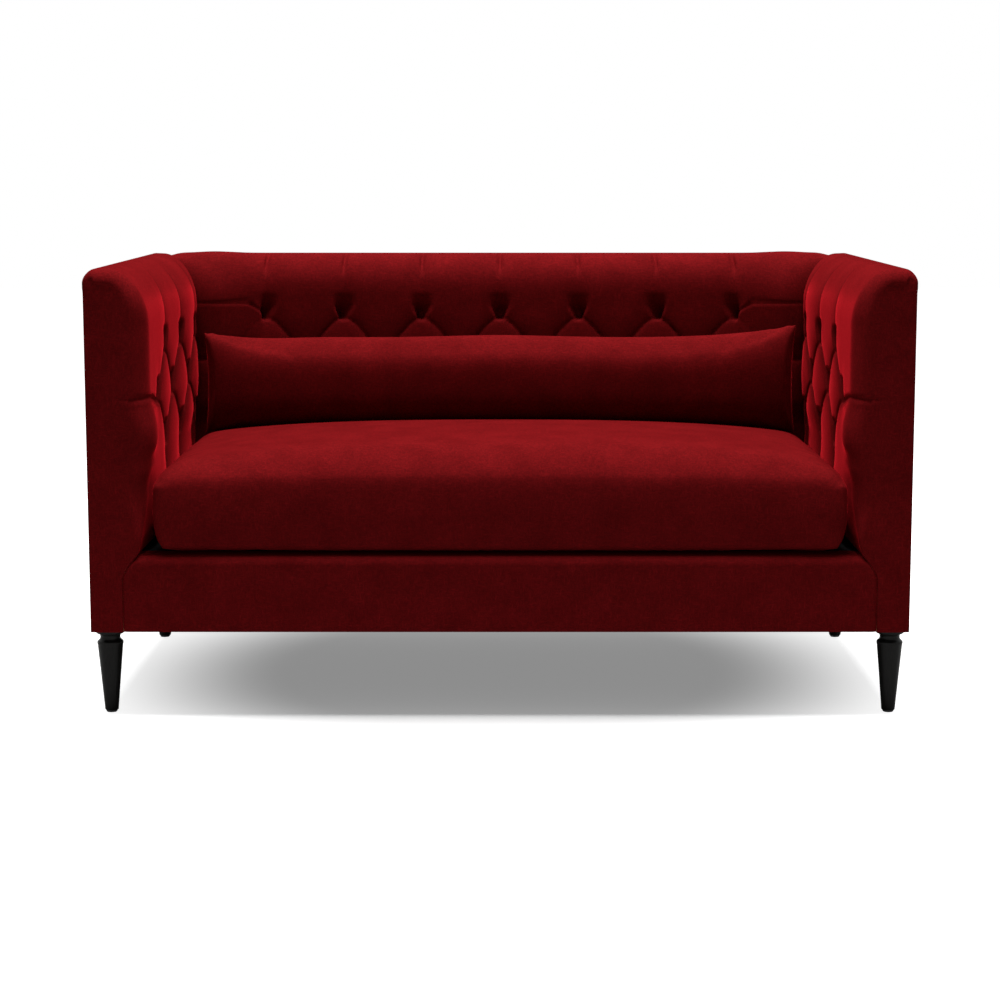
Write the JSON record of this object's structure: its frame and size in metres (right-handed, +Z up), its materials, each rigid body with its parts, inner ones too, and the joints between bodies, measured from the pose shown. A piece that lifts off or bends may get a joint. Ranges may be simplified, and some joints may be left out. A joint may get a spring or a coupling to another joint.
{
  "type": "sofa",
  "caption": "Velvet loveseat with button-tufted arms and back of one height, a crowned bench cushion, a long lumbar pillow and turned black legs.",
  "frame": {"origin": "on the floor under the middle of the sofa's outline, halfway between its sides and halfway between its front and back faces", "axes": "+X along the sofa towards its right-hand arm as seen from the front, -Y towards the sitter's feet, +Z up"},
  "size_m": [1.524, 0.838, 0.83],
  "materials": {
    "velvet": "deep red short-pile velvet",
    "hardwood": "sawn kiln-dried hardwood",
    "board": "hardboard",
    "steel": "drawn wire and zinc plate",
    "felt": "grey needled felt",
    "dark_cloth": "black woven platform cloth",
    "twine": "waxed tufting twine",
    "black_lacquer": "gloss black lacquer on turned wood",
    "nylon": "moulded nylon",
    "foam": "open-cell foam",
    "fibre": "cloth bag of fibre fill",
    "zip_tape": "woven zip tape with coil teeth",
    "zip_metal": "cast and plated"
  },
  "bodies": {
    "frame": {"front_seat_rail": "hardwood", "rear_seat_rail": "hardwood", "left_side_rail": "hardwood", "right_side_rail": "hardwood", "centre_stretchers": "hardwood", "corner_blocks": "hardwood", "left_front_post": "hardwood", "right_front_post": "hardwood", "rear_posts": "hardwood", "left_arm_top_rail": "hardwood", "right_arm_top_rail": "hardwood", "back_top_rail": "hardwood", "back_uprights": "hardwood", "arm_tack_rails": "hardwood", "left_tufting_board": "board", "right_tufting_board": "board", "back_tufting_board": "board", "frame_dowels": "hardwood", "corner_screws": "steel", "left_stiffener": "board", "right_stiffener": "board", "back_stiffener": "board", "zigzag_springs": "steel", "spring_clips": "steel", "tie_wires": "steel", "deck_felt": "felt", "deck_cloth": "dark_cloth", "dust_cover": "dark_cloth", "left_arm_pad": "velvet", "right_arm_pad": "velvet", "back_pad": "velvet", "left_arm_front": "velvet", "right_arm_front": "velvet", "front_rail_cover": "velvet", "left_outer_cover": "velvet", "right_outer_cover": "velvet", "outer_back_cover": "velvet", "left_arm_buttons": "velvet", "right_arm_buttons": "velvet", "back_buttons": "velvet", "left_arm_twines": "twine", "right_arm_twines": "twine", "back_twines": "twine", "front_left_leg": "black_lacquer", "front_right_leg": "black_lacquer", "rear_left_leg": "black_lacquer", "rear_right_leg": "black_lacquer", "hanger_bolts": "steel", "threaded_inserts": "steel", "foot_glides": "nylon"},
    "seat_cushion": {"seat_cushion_cover": "velvet", "seat_foam": "foam", "seat_zip": "zip_tape"},
    "zip_slider": {"zip_slider": "zip_metal"},
    "lumbar_pillow": {"pillow_cover": "velvet", "pillow_insert": "fibre"}
  },
  "joints": [
    {"name": "seat_cushion_slide", "type": "slide", "parent": "frame", "child": "seat_cushion", "axis": [0, -1, 0], "range_m": [0, 0.75]},
    {"name": "zip_slide", "type": "slide", "parent": "seat_cushion", "child": "zip_slider", "axis": [1, 0, 0], "range_m": [0, 0.874]},
    {"name": "pillow_lift", "type": "slide", "parent": "seat_cushion", "child": "lumbar_pillow", "axis": [0, 0, 1], "range_m": [0, 0.45]}
  ]
}
